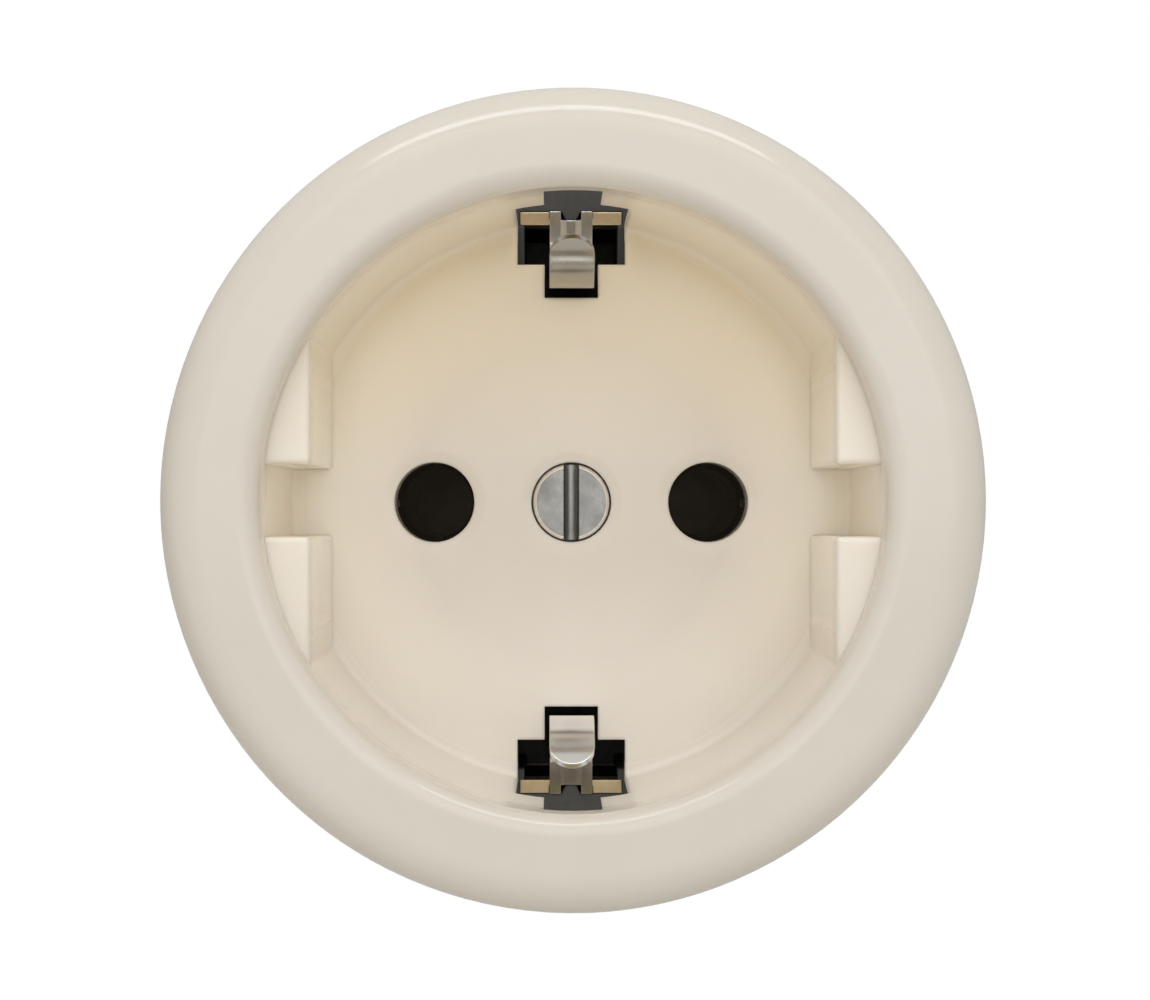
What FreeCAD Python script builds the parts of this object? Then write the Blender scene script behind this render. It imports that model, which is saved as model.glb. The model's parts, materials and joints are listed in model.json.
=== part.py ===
import FreeCAD, Part
import math
import os

# Round flush socket with side earth springs, in millimetres.
# The front faces -Y, +Z is up and +X is to the right seen from the front.
# The origin is the centre of the support ring's rear face, which lies on the wall.

Vector = FreeCAD.Vector

# Mating plug, from which the well takes its form
pin_spacing = 19.0
pin_hole_r = 2.775
pin_hole_dish = 0.75
pin_hole_dish_depth = 0.15
well_depth = 17.5
well_floor_r = 19.45
well_draft = 0.15

# Cover
rim_width = 6.4
cover_stand_off = 10.5
rim_outer_round = 2.7
rim_inner_round = 1.25
well_corner_round = 0.45
well_wall = 1.5
floor_thick = 2.0
skirt_wall = 1.6
rim_thick = 2.0
web_count = 8
web_thick = 1.2
web_depth = 4.0
collar_wall = 1.1
collar_height = 1.0

# Guide ribs on the well's left and right
rib_depth = 2.85
rib_set_back = 2.4
rib_groove = 4.6
rib_edge_round = 0.3

# Earth windows in the floor and the wall
slot_width = 3.71
slot_reach = 5.28
slot_top_gap = 2.7
slot_flare = 0.15
window_width = 7.47
window_reach = 2.98
window_height = 8.8
window_flare = 0.25

# Cover screw and its bush
screw_head_r = 2.65
screw_head_thick = 2.0
screw_head_chamfer = 0.2
screw_slot = 1.05
screw_slot_depth = 0.9
screw_shank_r = 1.45
screw_reach = 9.0
screw_boss_wall = 1.2
bush_r = 2.7
bush_hex = 6.5
bush_length = 11.0
bush_end = 2.0

# Support ring
ring_thick = 1.5
ring_bend = 0.6
leg_count = 4
leg_width = 8.0
leg_lap = 7.0
leg_hole_lap = 3.5
leg_relief = 0.5
fixing_hole_r = 1.5
fixing_hole_inset = 2.35
fixing_sink_r = 2.1
ring_screw_r = 1.2
ring_screw_head_r = 2.2
ring_screw_head_thick = 1.2
ring_screw_bite = 3.9

# Housing and back plate
housing_wall = 2.5
housing_depth = 20.0
housing_edge = 0.5
housing_front_wall = 2.0
housing_flat_gap = 0.5
back_plate_inset = 1.2
back_plate_thick = 1.5
wire_hole_r = 2.2
lug_width = 1.3
lug_tip_width = 0.76
lug_thick = 0.5
lug_reach = 0.55

# Earth bridge, springs and terminal
bridge_width = 7.15
bridge_stem_width = 3.0
bridge_head = 2.5
bridge_thick = 0.9
bridge_bend = 0.8
upright_set_out = 0.9
pocket_width = 6.6
pocket_depth = 10.5
wide_pocket_width = 8.2
wide_pocket_corner = 0.4
wide_pocket_set_in = 0.8
spring_width = 3.0
spring_thick = 0.5
spring_hook = 4.0
spring_tip_set_in = 2.03
spring_tip_height = 8.6
spring_bow_set_in = 4.98
spring_bow_height = 6.0
spring_bow_round = 6.0
spring_shelf = 2.9
spring_shelf_round = 0.6
spring_root_depth = 9.5
spring_root_set_in = 1.9
spring_root_width = 2.2
spring_root_round = 0.95
spring_channel = 1.45
spring_channel_floor = 0.65
spring_channel_depth = 0.3
spring_bar_end = 0.6
earth_terminal_drop = 10.0
earth_nut_size = 6.0
earth_nut_thick = 2.5
earth_screw_r = 1.7
earth_head_r = 2.75
earth_head_thick = 2.0
earth_clamp_size = 6.6
earth_clamp_thick = 1.2
earth_screw_end = 0.8

# Pin contacts
sleeve_r = 3.4
sleeve_bore_r = 2.45
sleeve_slit = 0.6
sleeve_slit_depth = 8.0
sleeve_lead = 0.4
groove_depth = 0.2
contact_ring_width = 1.8
contact_ring_thick = 0.7
contact_ring_place = 1.6
contact_ring_gap = 1.0
block_depth = 6.5
block_height = 7.0
block_inward = 3.3
block_bore_end = 1.5
wire_bore_r = 1.5
wire_inset = 3.6
terminal_screw_r = 1.45
terminal_head_r = 2.4
terminal_head_thick = 2.0
terminal_gap = 0.4
terminal_head_inset = 0.5
terminal_slot = 0.7
terminal_slot_depth = 0.9

# Rivets that hold the back plate
rivet_count = 4
rivet_set_in = 2.95
rivet_r = 1.4
rivet_head_r = 2.4
rivet_head_thick = 0.7

# Clearances
close_fit = 0.05
free_fit = 0.2
mouth_fit = 0.4
part_gap = 0.25

# Derived planes along Y
rim_front = -cover_stand_off
floor_front = rim_front + well_depth
floor_rear = floor_front + floor_thick
skirt_rear = -ring_thick
screw_seat = floor_front + screw_head_thick
housing_front = floor_rear + collar_height
housing_rear = housing_front + housing_depth
back_plate_rear = housing_rear + back_plate_thick
chamber_front = housing_front + housing_front_wall
block_front = housing_rear - block_depth
terminal_y = housing_rear - block_depth / 2
leg_rear = housing_front + leg_lap
leg_hole_y = housing_front + leg_hole_lap
spring_top = housing_front - spring_thick
nut_rear = housing_rear - bridge_thick
clamp_rear = housing_rear + earth_clamp_thick

# Derived distances from the middle
well_top_r = well_floor_r + well_draft
well_outer_r = well_top_r + well_wall
cover_r = well_top_r + rim_width
skirt_inner_r = cover_r - skirt_wall
rib_face_x = well_floor_r - rib_depth
slot_start_r = well_floor_r - slot_reach
window_start_r = well_floor_r - window_reach
ring_inner_r = well_outer_r + part_gap
fixing_hole_place_r = ring_inner_r + fixing_hole_inset
upright_outer_r = well_top_r + upright_set_out
pocket_start_r = slot_start_r - mouth_fit
wide_pocket_end_r = upright_outer_r - bridge_thick - wide_pocket_set_in
spring_tip_r = well_floor_r - spring_tip_set_in
housing_r = upright_outer_r + housing_wall
back_plate_r = housing_r - back_plate_inset
housing_flat_x = fixing_hole_place_r - fixing_hole_r - housing_flat_gap
pin_x = pin_spacing / 2
block_inner_x = pin_x - block_inward
block_outer_x = housing_flat_x - terminal_head_inset - terminal_head_thick - terminal_gap
wire_place_x = block_outer_x - wire_inset
rivet_place_r = ring_inner_r - ring_screw_bite - rivet_set_in
over = 1.0


def rounded_wire(corners, place):
    """A closed wire through (u, v) or (u, v, round) corners; place turns u, v into a point."""
    count = len(corners)
    cuts = []
    for i in range(count):
        before = corners[i - 1]
        here = corners[i]
        after = corners[(i + 1) % count]
        radius = here[2] if len(here) > 2 else 0.0
        a = Vector(before[0] - here[0], before[1] - here[1], 0)
        b = Vector(after[0] - here[0], after[1] - here[1], 0)
        a.normalize()
        b.normalize()
        point = Vector(here[0], here[1], 0)
        if radius <= 0:
            cuts.append((point, point, point))
            continue
        half = a.getAngle(b) / 2
        reach = radius / math.tan(half)
        middle = a + b
        middle.normalize()
        dip = radius / math.sin(half) - radius
        cuts.append((point + a * reach, point + middle * dip, point + b * reach))
    edges = []
    for i in range(count):
        start, middle, end = cuts[i]
        following = cuts[(i + 1) % count][0]
        if start.distanceToPoint(end) > 1e-6:
            arc = Part.Arc(place(start.x, start.y), place(middle.x, middle.y), place(end.x, end.y))
            edges.append(arc.toShape())
        if end.distanceToPoint(following) > 1e-6:
            edges.append(Part.LineSegment(place(end.x, end.y), place(following.x, following.y)).toShape())
    return Part.Wire(edges)


def turned(corners):
    """A solid turned about the Y axis from corners given as (radius, y, round)."""
    face = Part.Face(rounded_wire(corners, lambda r, y: Vector(r, y, 0)))
    return face.revolve(Vector(0, 0, 0), Vector(0, 1, 0), 360)


def plan_prism(corners, y_from, y_to):
    """A prism along Y from corners given as (x, z, round)."""
    face = Part.Face(rounded_wire(corners, lambda x, z: Vector(x, y_from, z)))
    return face.extrude(Vector(0, y_to - y_from, 0))


def block(x_from, x_to, y_from, y_to, z_from, z_to):
    """A plain box between two corners."""
    size = (x_to - x_from, y_to - y_from, z_to - z_from)
    return Part.makeBox(size[0], size[1], size[2], Vector(x_from, y_from, z_from))


def rod(radius, y_from, y_to, x=0.0, z=0.0):
    """A cylinder along Y."""
    return Part.makeCylinder(radius, y_to - y_from, Vector(x, y_from, z), Vector(0, 1, 0))


def tube(outer, inner, y_from, y_to, x=0.0, z=0.0):
    """A plain tube along Y."""
    return rod(outer, y_from, y_to, x, z).cut(rod(inner, y_from - over, y_to + over, x, z))


def turn_about_y(shape, degrees):
    """A copy turned about the socket's axis; 90 takes +X to the top."""
    copy = shape.copy()
    copy.rotate(Vector(0, 0, 0), Vector(0, 1, 0), -degrees)
    return copy


def strip_outline(path, thickness):
    """Corners round both sides of a bent strip whose middle line is (u, v, round)."""
    points = [Vector(p[0], p[1], 0) for p in path]
    rounds = [p[2] if len(p) > 2 else 0.0 for p in path]
    ways = []
    for i in range(len(points) - 1):
        way = points[i + 1] - points[i]
        way.normalize()
        ways.append(way)
    left = []
    right = []
    for i in range(len(points)):
        first = ways[max(i - 1, 0)]
        second = ways[min(i, len(ways) - 1)]
        normal = Vector(-first.y - second.y, first.x + second.x, 0)
        normal.normalize()
        side = Vector(-first.y, first.x, 0)
        reach = thickness / 2 / normal.dot(side)
        turn = first.x * second.y - first.y * second.x
        inner = rounds[i] - thickness / 2 if rounds[i] else 0.0
        outer = rounds[i] + thickness / 2 if rounds[i] else 0.0
        near = points[i] + normal * reach
        far = points[i] - normal * reach
        left.append((near.x, near.y, inner if turn > 0 else outer))
        right.append((far.x, far.y, outer if turn > 0 else inner))
    return left + right[::-1]


def bent_strip(path, thickness, width):
    """A strip bent in the top half of the YZ plane, its path given as (radius, y, round)."""
    wire = rounded_wire(strip_outline(path, thickness), lambda r, y: Vector(-width / 2, y, r))
    return Part.Face(wire).extrude(Vector(width, 0, 0))


def softened(shape, radius, wanted):
    """The shape with a fillet on each edge that wanted(edge) picks."""
    edges = [edge for edge in shape.Edges if wanted(edge)]
    return shape.makeFillet(radius, edges)


def cover_shell():
    """The turned body of the cover: rim, skirt, well wall and floor."""
    outline = [
        (0.0, floor_front),
        (well_floor_r, floor_front, well_corner_round),
        (well_top_r, rim_front, rim_inner_round),
        (cover_r, rim_front, rim_outer_round),
        (cover_r, skirt_rear),
        (skirt_inner_r, skirt_rear),
        (skirt_inner_r, rim_front + rim_thick),
        (well_outer_r, rim_front + rim_thick),
        (well_outer_r, floor_rear),
        (0.0, floor_rear),
    ]
    return turned(outline)


def guide_rib():
    """The upper half of the right guide rib, between its groove and the well wall."""
    half_groove = rib_groove / 2
    wall_r = well_top_r + well_wall / 2
    top = math.sqrt(wall_r ** 2 - rib_face_x ** 2)
    x_corner = math.sqrt(wall_r ** 2 - half_groove ** 2)
    corners = [
        (rib_face_x, half_groove, rib_edge_round),
        (x_corner, half_groove),
        (x_corner, top),
        (rib_face_x, top),
    ]
    front = rim_front + rib_set_back
    rear = floor_front + floor_thick / 2
    rib = plan_prism(corners, front, rear)
    rib = rib.common(rod(wall_r, front, rear))

    def front_edge(edge):
        flat = abs(edge.BoundBox.YMax - front) < 0.01
        mid = edge.CenterOfMass
        return flat and math.hypot(mid.x, mid.z) < wall_r - 0.3

    return softened(rib, rib_edge_round, front_edge)


def flared_cutter(width, flare, start_r, y_from):
    """A cutter through floor and wall at the top, whose sides spread once they are in the wall."""
    far = well_outer_r + over
    half = width / 2
    wide = half + flare * (far - well_floor_r)
    corners = [
        (-half, start_r),
        (half, start_r),
        (half, well_floor_r),
        (wide, far),
        (-wide, far),
        (-half, well_floor_r),
    ]
    return plan_prism(corners, y_from, floor_rear + over)


def window_cutters():
    """The T-shaped opening at the top: a narrow slot and a wide one, through floor and wall."""
    slot = flared_cutter(slot_width, slot_flare, slot_start_r, rim_front + slot_top_gap)
    wide = flared_cutter(window_width, window_flare, window_start_r, floor_front - window_height)
    return slot.fuse(wide)


def rim_webs():
    """Thin radial webs in the hollow between the well wall and the skirt."""
    web = block(
        well_outer_r - well_wall / 2, skirt_inner_r + skirt_wall / 2,
        rim_front + rim_thick / 2, rim_front + rim_thick + web_depth,
        -web_thick / 2, web_thick / 2,
    )
    step = 360.0 / web_count
    return [turn_about_y(web, step * (i + 0.5)) for i in range(web_count)]


def make_cover():
    """The ivory moulding with its well, ribs, windows and holes."""
    cover = cover_shell().fuse(rim_webs())
    for x in (-pin_x, pin_x):
        cover = cover.fuse(rod(pin_hole_r + collar_wall, floor_rear - over, housing_front, x))
    cover = cover.fuse(rod(pin_hole_r + screw_boss_wall, floor_rear - over, housing_front))
    ribs = []
    upper = guide_rib()
    for half in (upper, upper.mirror(Vector(0, 0, 0), Vector(0, 0, 1))):
        ribs.append(half)
        ribs.append(half.mirror(Vector(0, 0, 0), Vector(1, 0, 0)))
    cover = cover.fuse(ribs)
    window = window_cutters()
    cover = cover.cut([window, turn_about_y(window, 180)])
    for x in (-pin_x, pin_x):
        cover = cover.cut(rod(pin_hole_r, floor_front - over, housing_front + over, x))
    cover = cover.cut(rod(pin_hole_r, floor_front - over, screw_seat))
    cover = cover.cut(rod(screw_shank_r + free_fit, screw_seat - over, housing_front + over))

    for x in (-pin_x, 0.0, pin_x):
        dish = Part.makeCone(
            pin_hole_r + pin_hole_dish, pin_hole_r, pin_hole_dish_depth,
            Vector(x, floor_front, 0), Vector(0, 1, 0),
        )
        cover = cover.cut(dish)
    return cover.removeSplitter()


def make_cover_screw():
    """The slotted screw in the middle of the well."""
    corners = [
        (0.0, floor_front),
        (screw_head_r - screw_head_chamfer, floor_front),
        (screw_head_r, floor_front + screw_head_chamfer),
        (screw_head_r, screw_seat),
        (screw_shank_r, screw_seat),
        (screw_shank_r, housing_front + screw_reach - screw_shank_r / 2),
        (screw_shank_r / 2, housing_front + screw_reach),
        (0.0, housing_front + screw_reach),
    ]
    slot_floor = floor_front + screw_slot_depth - screw_slot / 2
    slot = block(
        -screw_slot / 2, screw_slot / 2,
        floor_front - over, slot_floor,
        -screw_head_r - over, screw_head_r + over,
    )
    slot_round = Part.makeCylinder(
        screw_slot / 2, 2 * (screw_head_r + over),
        Vector(0, slot_floor, -screw_head_r - over), Vector(0, 0, 1),
    )
    return turned(corners).cut([slot, slot_round])


def hexagon(across_flats, y_from, y_to):
    """A hexagonal bar along Y."""
    corner_r = across_flats / math.sqrt(3)
    turns = [math.radians(60 * i) for i in range(6)]
    corners = [(corner_r * math.cos(t), corner_r * math.sin(t)) for t in turns]
    return plan_prism(corners, y_from, y_to)


def bush_body():
    """The outside of the centre bush, round at its ends and hexagonal between them."""
    body = rod(bush_r, housing_front, housing_front + bush_length)
    hex_from = housing_front + bush_end
    hex_to = housing_front + bush_length - bush_end
    return body.fuse(hexagon(bush_hex, hex_from, hex_to)).removeSplitter()


def make_center_bush():
    """The brass bush moulded into the housing."""
    bore = rod(screw_shank_r + close_fit, housing_front - over, housing_front + bush_length + over)
    return bush_body().cut(bore)


def ring_leg():
    """One leg on +X, bent from the ring's inner edge towards the rear."""
    half = ring_thick / 2
    path = [
        (ring_inner_r + ring_thick + ring_bend + over, -half),
        (ring_inner_r + half, -half, ring_bend + half),
        (ring_inner_r + half, leg_rear),
    ]
    wire = rounded_wire(
        strip_outline(path, ring_thick),
        lambda r, y: Vector(r, y, -leg_width / 2),
    )
    leg = Part.Face(wire).extrude(Vector(0, 0, leg_width))
    hole = Part.makeCylinder(
        ring_screw_r + free_fit, housing_r,
        Vector(housing_r / 2, leg_hole_y, 0), Vector(1, 0, 0),
    )
    return leg.cut(hole)


def leg_angles():
    """The places of the legs round the ring, between the fixing holes and the windows."""
    step = 360.0 / leg_count
    return [step * (i + 0.5) for i in range(leg_count)]


def make_support_ring():
    """The pressed steel ring that lies on the wall, with its legs and two sunk fixing holes."""
    ring = tube(cover_r, ring_inner_r, -ring_thick, 0.0)
    bend_start = ring_inner_r + ring_thick + ring_bend
    notch = block(
        ring_inner_r - over, bend_start,
        -ring_thick - over, over,
        -leg_width / 2 - leg_relief, leg_width / 2 + leg_relief,
    )
    leg = ring_leg()
    for angle in leg_angles():
        ring = ring.cut(turn_about_y(notch, angle))
        ring = ring.fuse(turn_about_y(leg, angle))
    sink_depth = fixing_sink_r - fixing_hole_r
    for x in (-fixing_hole_place_r, fixing_hole_place_r):
        ring = ring.cut(rod(fixing_hole_r, -ring_thick - over, over, x))
        sink = Part.makeCone(
            fixing_sink_r, fixing_hole_r, sink_depth,
            Vector(x, -ring_thick, 0), Vector(0, 1, 0),
        )
        ring = ring.cut(sink)
    return ring.removeSplitter()


def screw_along_x(shank_r, tip_x, seat_x, head_r, head_thick, slot_wide, slot_deep, y):
    """A slotted screw along X whose head lies outwards of seat_x."""
    way = Vector(1, 0, 0)
    shank = Part.makeCylinder(shank_r, seat_x - tip_x, Vector(tip_x, y, 0), way)
    head = Part.makeCylinder(head_r, head_thick, Vector(seat_x, y, 0), way)
    top = seat_x + head_thick
    slot = block(
        top - slot_deep, top + over,
        y - slot_wide / 2, y + slot_wide / 2,
        -head_r - over, head_r + over,
    )
    return shank.fuse(head).cut(slot)


def make_ring_screw(angle):
    """A short screw that holds one leg to the housing."""
    seat = ring_inner_r + ring_thick
    screw = screw_along_x(
        ring_screw_r, ring_inner_r - ring_screw_bite, seat,
        ring_screw_head_r, ring_screw_head_thick,
        terminal_slot, ring_screw_head_thick / 2, leg_hole_y,
    )
    return turn_about_y(screw, angle)


def rivet_places():
    """The rivets' places as (x, z), between the pockets and the contacts' chambers."""
    turns = [math.radians(360.0 / rivet_count * (i + 0.5)) for i in range(rivet_count)]
    return [(rivet_place_r * math.cos(t), rivet_place_r * math.sin(t)) for t in turns]


def earth_pocket():
    """The top spring's blind pocket, and the slot of the upright, which goes through."""
    pocket = block(
        -pocket_width / 2, pocket_width / 2,
        housing_front - over, housing_front + pocket_depth,
        pocket_start_r, upright_outer_r - bridge_thick,
    )
    slot = block(
        -bridge_width / 2 - close_fit, bridge_width / 2 + close_fit,
        housing_front - over, housing_rear + over,
        upright_outer_r - bridge_thick - close_fit, upright_outer_r + close_fit,
    )
    return pocket.fuse(slot)


def wide_pocket():
    """The wider inner part that only the bottom pocket has."""
    half = wide_pocket_width / 2
    corners = [
        (-half, -wide_pocket_end_r, wide_pocket_corner),
        (half, -wide_pocket_end_r, wide_pocket_corner),
        (half, -pocket_start_r),
        (-half, -pocket_start_r),
    ]
    return plan_prism(corners, housing_front - over, housing_front + pocket_depth)


def contact_chamber():
    """The room for the right contact: a round bore, a block-shaped part and the screw's way out."""
    room = rod(sleeve_r + contact_ring_thick + free_fit, chamber_front, housing_rear, pin_x)
    room = room.fuse(block(
        block_inner_x - free_fit, block_outer_x + terminal_gap,
        block_front - free_fit, housing_rear + over,
        -block_height / 2 - free_fit, block_height / 2 + free_fit,
    ))
    way_out = Part.makeCylinder(
        terminal_head_r + free_fit, housing_r,
        Vector(block_outer_x, terminal_y, 0), Vector(1, 0, 0),
    )
    mouth = rod(pin_hole_r + mouth_fit, housing_front - over, chamber_front + over, pin_x)
    return room.fuse([way_out, mouth])


def spring_lug():
    """The small tongue at the top, flush with the housing's front, that parts the spring's two bars."""
    root_r = upright_outer_r + close_fit
    corners = [
        (-lug_width / 2, root_r + over),
        (-lug_width / 2, root_r),
        (-lug_tip_width / 2, upright_outer_r - lug_reach, lug_tip_width / 4),
        (lug_tip_width / 2, upright_outer_r - lug_reach, lug_tip_width / 4),
        (lug_width / 2, root_r),
        (lug_width / 2, root_r + over),
    ]
    return plan_prism(corners, housing_front, housing_front + lug_thick)


def side_flats(x):
    """Cutters for a flat on the left and the right, beside the fixing screws."""
    right = block(
        x, housing_r + over,
        housing_front - over, back_plate_rear + over,
        -housing_r, housing_r,
    )
    return [right, turn_about_y(right, 180)]


def make_housing():
    """The dark grey moulded base."""
    housing = turned([
        (0.0, housing_front),
        (housing_r - housing_edge, housing_front),
        (housing_r, housing_front + housing_edge),
        (housing_r, housing_rear),
        (0.0, housing_rear),
    ])
    flat = block(
        ring_inner_r, housing_r + over,
        housing_front - over, leg_rear + free_fit,
        -leg_width / 2 - free_fit, leg_width / 2 + free_fit,
    )
    screw_hole = Part.makeCylinder(
        ring_screw_r + close_fit, housing_r,
        Vector(ring_inner_r - ring_screw_bite - free_fit, leg_hole_y, 0), Vector(1, 0, 0),
    )
    for angle in leg_angles():
        housing = housing.cut([turn_about_y(flat, angle), turn_about_y(screw_hole, angle)])
    housing = housing.cut(side_flats(housing_flat_x))
    pocket = earth_pocket()
    chamber = contact_chamber()
    housing = housing.cut([pocket, turn_about_y(pocket, 180), wide_pocket()])
    housing = housing.cut([chamber, chamber.mirror(Vector(0, 0, 0), Vector(1, 0, 0))])
    bridge_slot = block(
        -bridge_width / 2 - close_fit, bridge_width / 2 + close_fit,
        housing_rear - bridge_thick, housing_rear + over,
        -upright_outer_r - close_fit, upright_outer_r + close_fit,
    )
    bend_room = block(
        -bridge_width / 2 - close_fit, bridge_width / 2 + close_fit,
        nut_rear - bridge_bend, housing_rear + over,
        upright_outer_r - bridge_thick - bridge_bend, upright_outer_r + close_fit,
    )
    housing = housing.cut([bend_room, turn_about_y(bend_room, 180)])
    nut_half = earth_nut_size / 2 + close_fit
    nut_room = block(
        -nut_half, nut_half,
        nut_rear - earth_nut_thick, housing_rear + over,
        -earth_terminal_drop - nut_half, -earth_terminal_drop + nut_half,
    )
    tip_room = rod(
        earth_screw_r + free_fit, nut_rear - earth_nut_thick - 2 * earth_screw_end, housing_rear,
        0.0, -earth_terminal_drop,
    )
    housing = housing.cut([bridge_slot, nut_room, tip_room, bush_body()])
    housing = housing.cut(rod(screw_shank_r + free_fit, housing_front, housing_rear + over))
    for x, z in rivet_places():
        housing = housing.cut(rod(rivet_r + close_fit, housing_front - over, housing_rear + over, x, z))
    lug = spring_lug()
    return housing.fuse([lug, turn_about_y(lug, 180)]).removeSplitter()


def make_back_plate():
    """The brown laminated plate that closes the housing, with holes for the wires and rivets."""
    plate = rod(back_plate_r, housing_rear, back_plate_rear)
    holes = [(x, 0.0, wire_hole_r) for x in (-wire_place_x, wire_place_x)]
    holes += [(x, z, rivet_r + close_fit) for x, z in rivet_places()]
    for x, z, radius in holes:
        plate = plate.cut(rod(radius, housing_rear - over, back_plate_rear + over, x, z))
    clamp_half = earth_clamp_size / 2 + free_fit
    clamp_room = block(
        -clamp_half, clamp_half,
        housing_rear - over, back_plate_rear + over,
        -earth_terminal_drop - clamp_half, -earth_terminal_drop + clamp_half,
    )
    return plate.cut([clamp_room] + side_flats(housing_flat_x - part_gap))


def make_earth_bridge():
    """The brass strip that joins both earth springs behind the contacts."""
    half = bridge_thick / 2
    upright = upright_outer_r - half
    base = housing_rear - half
    path = [
        (-upright, housing_front),
        (-upright, base, bridge_bend + half),
        (upright, base, bridge_bend + half),
        (upright, housing_front),
    ]
    bridge = bent_strip(path, bridge_thick, bridge_width)
    notch_half = spring_width / 2 + close_fit
    hook_notch = block(
        -notch_half, notch_half,
        housing_front - over, housing_front + spring_hook + free_fit,
        upright_outer_r - spring_thick, upright_outer_r + over,
    )
    lug_half = lug_width / 2 + close_fit
    lug_notch = block(
        -lug_half, lug_half,
        housing_front - over, housing_front + lug_thick + close_fit,
        well_top_r - over, upright_outer_r + over,
    )
    notch = hook_notch.fuse(lug_notch)
    cuts = [notch, turn_about_y(notch, 180)]
    for side in (-1, 1):
        stem_edge = side * bridge_stem_width / 2
        outside = side * (bridge_width + over)
        beside_stem = block(
            min(stem_edge, outside), max(stem_edge, outside),
            housing_front + bridge_head, nut_rear - bridge_bend,
            -housing_r, housing_r,
        )
        cuts.append(beside_stem)
    screw_hole = rod(
        earth_screw_r + free_fit, nut_rear - over, housing_rear + over,
        0.0, -earth_terminal_drop,
    )
    return bridge.cut(cuts + [screw_hole])


def tip_cutter(tip, way, width):
    """What leaves a half-round end on a strip; tip and way are (radius, y) on its middle line."""
    half = width / 2
    start = (tip[0] - way[0] * half, tip[1] - way[1] * half)
    side = (-way[1], way[0])
    far = (start[0] + way[0] * width, start[1] + way[1] * width)
    corners = [
        (start[0] - side[0] * over, start[1] - side[1] * over),
        (far[0] - side[0] * over, far[1] - side[1] * over),
        (far[0] + side[0] * over, far[1] + side[1] * over),
        (start[0] + side[0] * over, start[1] + side[1] * over),
    ]
    zone = Part.Face(rounded_wire(corners, lambda r, y: Vector(-width, y, r)))
    zone = zone.extrude(Vector(2 * width, 0, 0))
    axis = Vector(0, side[1], side[0])
    round_end = Part.makeCylinder(
        half, 4 * over,
        Vector(0, start[1], start[0]) - axis * 2 * over, axis,
    )
    return zone.cut(round_end)


def spring_channel_cutter():
    """The pressed channel along the spring's shelf, with sloping sides."""
    deep = spring_top + spring_channel_depth
    slope = (spring_channel - spring_channel_floor) / 2 / spring_channel_depth
    wide = spring_channel / 2 + slope * over
    corners = [
        (-wide, spring_top - over),
        (wide, spring_top - over),
        (spring_channel_floor / 2, deep),
        (-spring_channel_floor / 2, deep),
    ]
    start = upright_outer_r - spring_shelf
    face = Part.Face(rounded_wire(corners, lambda x, y: Vector(x, y, start)))
    return face.extrude(Vector(0, 0, spring_shelf + over))


def earth_spring():
    """The top spring: hooked on the upright, down into the pocket and out into the well."""
    half = spring_thick / 2
    hook = upright_outer_r - half
    shelf_y = spring_top + half
    root_r = upright_outer_r - spring_root_set_in
    root_y = housing_front + spring_root_depth
    tip = (spring_tip_r, floor_front - spring_tip_height)
    bow = (well_floor_r - spring_bow_set_in, floor_front - spring_bow_height)
    reach = math.hypot(tip[0] - bow[0], tip[1] - bow[1])
    way = ((tip[0] - bow[0]) / reach, (tip[1] - bow[1]) / reach)
    path = [
        (hook, housing_front + spring_hook),
        (hook, shelf_y),
        (upright_outer_r - spring_shelf, shelf_y, spring_shelf_round),
        (root_r, root_y, spring_root_round),
        (root_r - spring_root_width, root_y, spring_root_round),
        (bow[0], bow[1], spring_bow_round),
        (tip[0] + way[0] * half, tip[1] + way[1] * half),
    ]
    spring = bent_strip(path, spring_thick, spring_width)
    fork = block(
        -spring_channel / 2, spring_channel / 2,
        spring_top - over, housing_front + spring_hook + over,
        upright_outer_r - spring_bar_end, upright_outer_r + over,
    )
    return spring.cut([tip_cutter(tip, way, spring_width), spring_channel_cutter(), fork])


def make_earth_nut():
    """The square nut between the housing and the bridge."""
    half = earth_nut_size / 2
    nut = block(
        -half, half, nut_rear - earth_nut_thick, nut_rear,
        -earth_terminal_drop - half, -earth_terminal_drop + half,
    )
    return nut.cut(rod(
        earth_screw_r + close_fit, nut_rear - earth_nut_thick - over, nut_rear + over,
        0.0, -earth_terminal_drop,
    ))


def make_earth_clamp():
    """The square saddle that presses the earth wire on the bridge."""
    half = earth_clamp_size / 2
    clamp = block(
        -half, half, housing_rear, clamp_rear,
        -earth_terminal_drop - half, -earth_terminal_drop + half,
    )
    return clamp.cut(rod(
        earth_screw_r + free_fit, housing_rear - over, clamp_rear + over,
        0.0, -earth_terminal_drop,
    ))


def make_earth_screw():
    """The earth terminal's slotted screw, with its head at the rear."""
    tip = nut_rear - earth_nut_thick - earth_screw_end
    top = clamp_rear + earth_head_thick
    screw = rod(earth_screw_r, tip, clamp_rear, 0.0, -earth_terminal_drop)
    screw = screw.fuse(rod(earth_head_r, clamp_rear, top, 0.0, -earth_terminal_drop))
    slot = block(
        -earth_head_r - over, earth_head_r + over,
        top - terminal_slot_depth, top + over,
        -earth_terminal_drop - terminal_slot / 2, -earth_terminal_drop + terminal_slot / 2,
    )
    return screw.cut(slot)


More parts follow.
